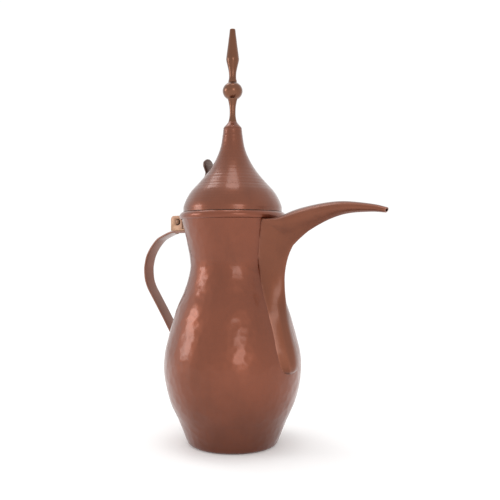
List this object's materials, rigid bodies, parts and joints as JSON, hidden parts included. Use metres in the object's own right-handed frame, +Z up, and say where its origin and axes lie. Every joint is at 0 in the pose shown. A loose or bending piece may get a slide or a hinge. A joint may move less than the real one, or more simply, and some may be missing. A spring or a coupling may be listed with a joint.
{
  "type": "dallah coffee pot",
  "caption": "Turned copper dallah coffee pot with a pear-shaped body, a long curved beak spout, a strap handle and a hinged domed lid topped by a ball and spear finial.",
  "frame": {"origin": "on the body's turned axis at the underside of the base plate", "axes": "+Z up along the body and the finial; +X towards the spout's tip; -X towards the handle; the hinge pin lies along Y"},
  "size_m": [0.2285, 0.1096, 0.33],
  "materials": {
    "body_copper": "hammered copper, satin, slightly browned",
    "spout_copper": "planished copper, satin",
    "lid_copper": "spun and planished copper, satin",
    "handle_copper": "smooth copper strip, satin",
    "hinge_copper": "brighter rubbed copper",
    "finial_copper": "turned golden brown copper",
    "dark_copper": "dark tarnished copper",
    "tinned_copper": "tinned lining, dull",
    "steel": "plain steel"
  },
  "bodies": {
    "pot": {"base_plate": "dark_copper", "belly_rivet_lower": "handle_copper", "belly_rivet_upper": "handle_copper", "belly_shell": "body_copper", "clevis_rivet_front": "hinge_copper", "clevis_rivet_rear": "hinge_copper", "handle_strap": "handle_copper", "hinge_clevis": "hinge_copper", "hinge_pin": "handle_copper", "mouth_collar": "body_copper", "neck_rivet_lower": "handle_copper", "neck_rivet_upper": "handle_copper", "neck_shell": "body_copper", "spout": "spout_copper"},
    "lid": {"finial_ball": "finial_copper", "finial_cap": "lid_copper", "finial_nut": "steel", "finial_spear": "finial_copper", "finial_stem": "finial_copper", "finial_tie_rod": "steel", "finial_washer": "steel", "lid_leaf": "hinge_copper", "lid_rivet_lower": "handle_copper", "lid_rivet_upper": "handle_copper", "lid_shell": "lid_copper", "lid_sleeve": "tinned_copper", "thumb_lever": "dark_copper"}
  },
  "joints": [
    {"name": "lid_hinge", "type": "hinge", "parent": "pot", "child": "lid", "pos_m": [-0.0554, 0, 0.1772], "axis": [0, -1, 0], "range_deg": [0, 100]}
  ]
}
